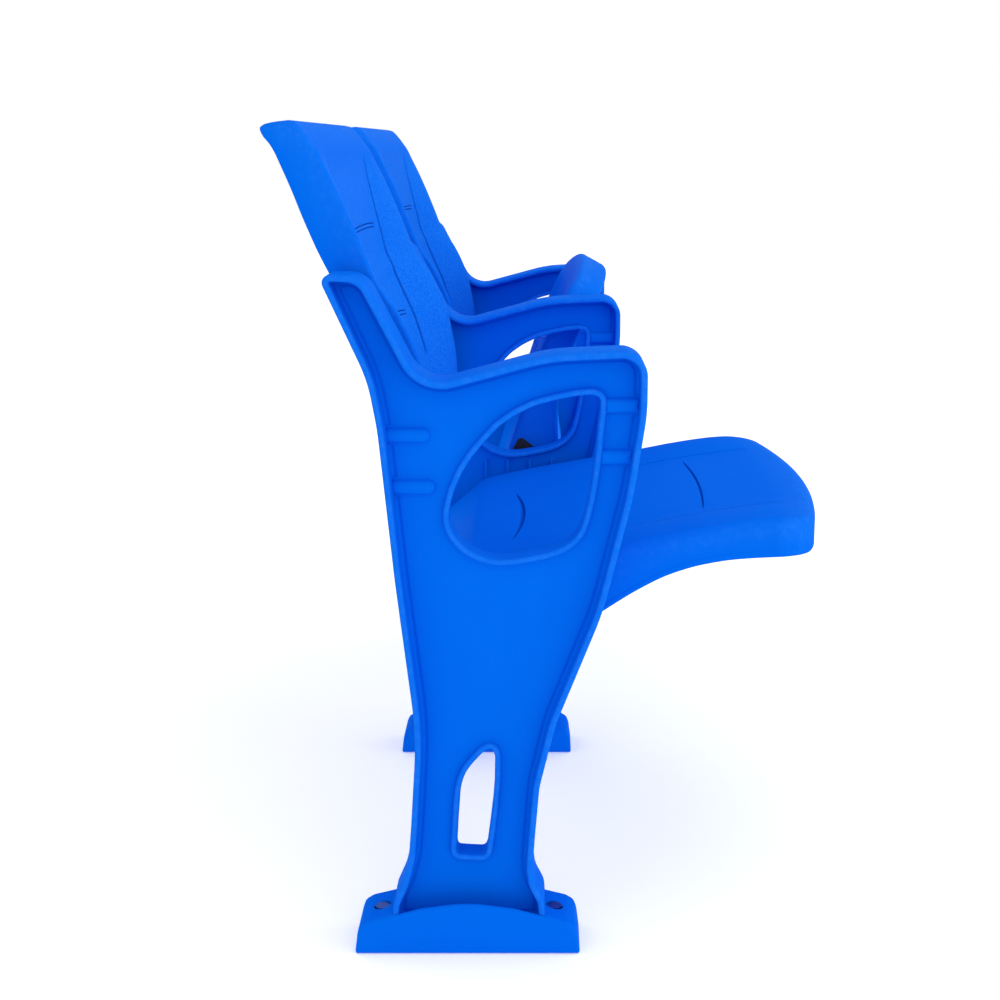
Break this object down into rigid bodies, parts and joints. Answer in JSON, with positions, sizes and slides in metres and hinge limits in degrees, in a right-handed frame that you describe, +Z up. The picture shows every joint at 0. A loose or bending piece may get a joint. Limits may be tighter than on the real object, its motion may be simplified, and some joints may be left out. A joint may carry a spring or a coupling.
{
  "type": "stadium seat row",
  "caption": "Tip-up spectator seats in a row: moulded high backs and folding seats hung between moulded side standards with armrests, on bolted feet.",
  "frame": {"origin": "on the floor, in the middle of the centre foot's underside", "axes": "+X along the row, +Y towards the rear (a sitter faces -Y), +Z up"},
  "size_m": [1.166, 0.5695, 0.833],
  "materials": {
    "standard_plastic": "fine spark-eroded grain, satin",
    "shell_plastic": "fine grain, satin",
    "black_steel": "black powder coat",
    "zinc_steel": "bright zinc plate",
    "dark_rubber": "plain",
    "grey_nylon": "plain"
  },
  "bodies": {
    "frame": {"standard_left": "standard_plastic", "standard_centre": "standard_plastic", "standard_right": "standard_plastic", "foot_left": "standard_plastic", "foot_centre": "standard_plastic", "foot_right": "standard_plastic", "anchor_bolt_left_front": "zinc_steel", "anchor_bolt_left_rear": "zinc_steel", "anchor_bolt_centre_front": "zinc_steel", "anchor_bolt_centre_rear": "zinc_steel", "anchor_bolt_right_front": "zinc_steel", "anchor_bolt_right_rear": "zinc_steel", "hinge_bracket_left_near": "black_steel", "hinge_bracket_left_far": "black_steel", "hinge_bracket_right_near": "black_steel", "hinge_bracket_right_far": "black_steel", "bracket_bolt_left_near": "zinc_steel", "bracket_bolt_left_far": "zinc_steel", "bracket_bolt_right_near": "zinc_steel", "bracket_bolt_right_far": "zinc_steel", "pivot_pin_left_near": "zinc_steel", "pivot_pin_left_far": "zinc_steel", "pivot_pin_right_near": "zinc_steel", "pivot_pin_right_far": "zinc_steel", "stop_stud_left_near": "zinc_steel", "stop_stud_left_far": "zinc_steel", "stop_stud_right_near": "zinc_steel", "stop_stud_right_far": "zinc_steel", "stop_buffer_left_near": "dark_rubber", "stop_buffer_left_far": "dark_rubber", "stop_buffer_right_near": "dark_rubber", "stop_buffer_right_far": "dark_rubber", "back_bracket_left_near": "black_steel", "back_bracket_left_far": "black_steel", "back_bracket_right_near": "black_steel", "back_bracket_right_far": "black_steel", "back_bolt_left_near_lower": "zinc_steel", "back_bolt_left_near_upper": "zinc_steel", "back_bolt_left_far_lower": "zinc_steel", "back_bolt_left_far_upper": "zinc_steel", "back_bolt_right_near_lower": "zinc_steel", "back_bolt_right_near_upper": "zinc_steel", "back_bolt_right_far_lower": "zinc_steel", "back_bolt_right_far_upper": "zinc_steel", "back_shell_left": "shell_plastic", "back_shell_right": "shell_plastic", "back_cover_left": "shell_plastic", "back_cover_right": "shell_plastic"},
    "seat_left": {"seat_top_left": "shell_plastic", "seat_pan_left": "shell_plastic", "hinge_bush_left_near": "grey_nylon", "hinge_bush_left_far": "grey_nylon", "seat_plate_left_near": "black_steel", "seat_plate_left_far": "black_steel"},
    "seat_right": {"seat_top_right": "shell_plastic", "seat_pan_right": "shell_plastic", "hinge_bush_right_near": "grey_nylon", "hinge_bush_right_far": "grey_nylon", "seat_plate_right_near": "black_steel", "seat_plate_right_far": "black_steel"}
  },
  "joints": [
    {"name": "seat_left_tip", "type": "hinge", "parent": "frame", "child": "seat_left", "pos_m": [-0.275, -0.071, 0.34], "axis": [-1, 0, 0], "range_deg": [0, 61]},
    {"name": "seat_right_tip", "type": "hinge", "parent": "frame", "child": "seat_right", "pos_m": [0.275, -0.071, 0.34], "axis": [-1, 0, 0], "range_deg": [-61, 0]}
  ]
}
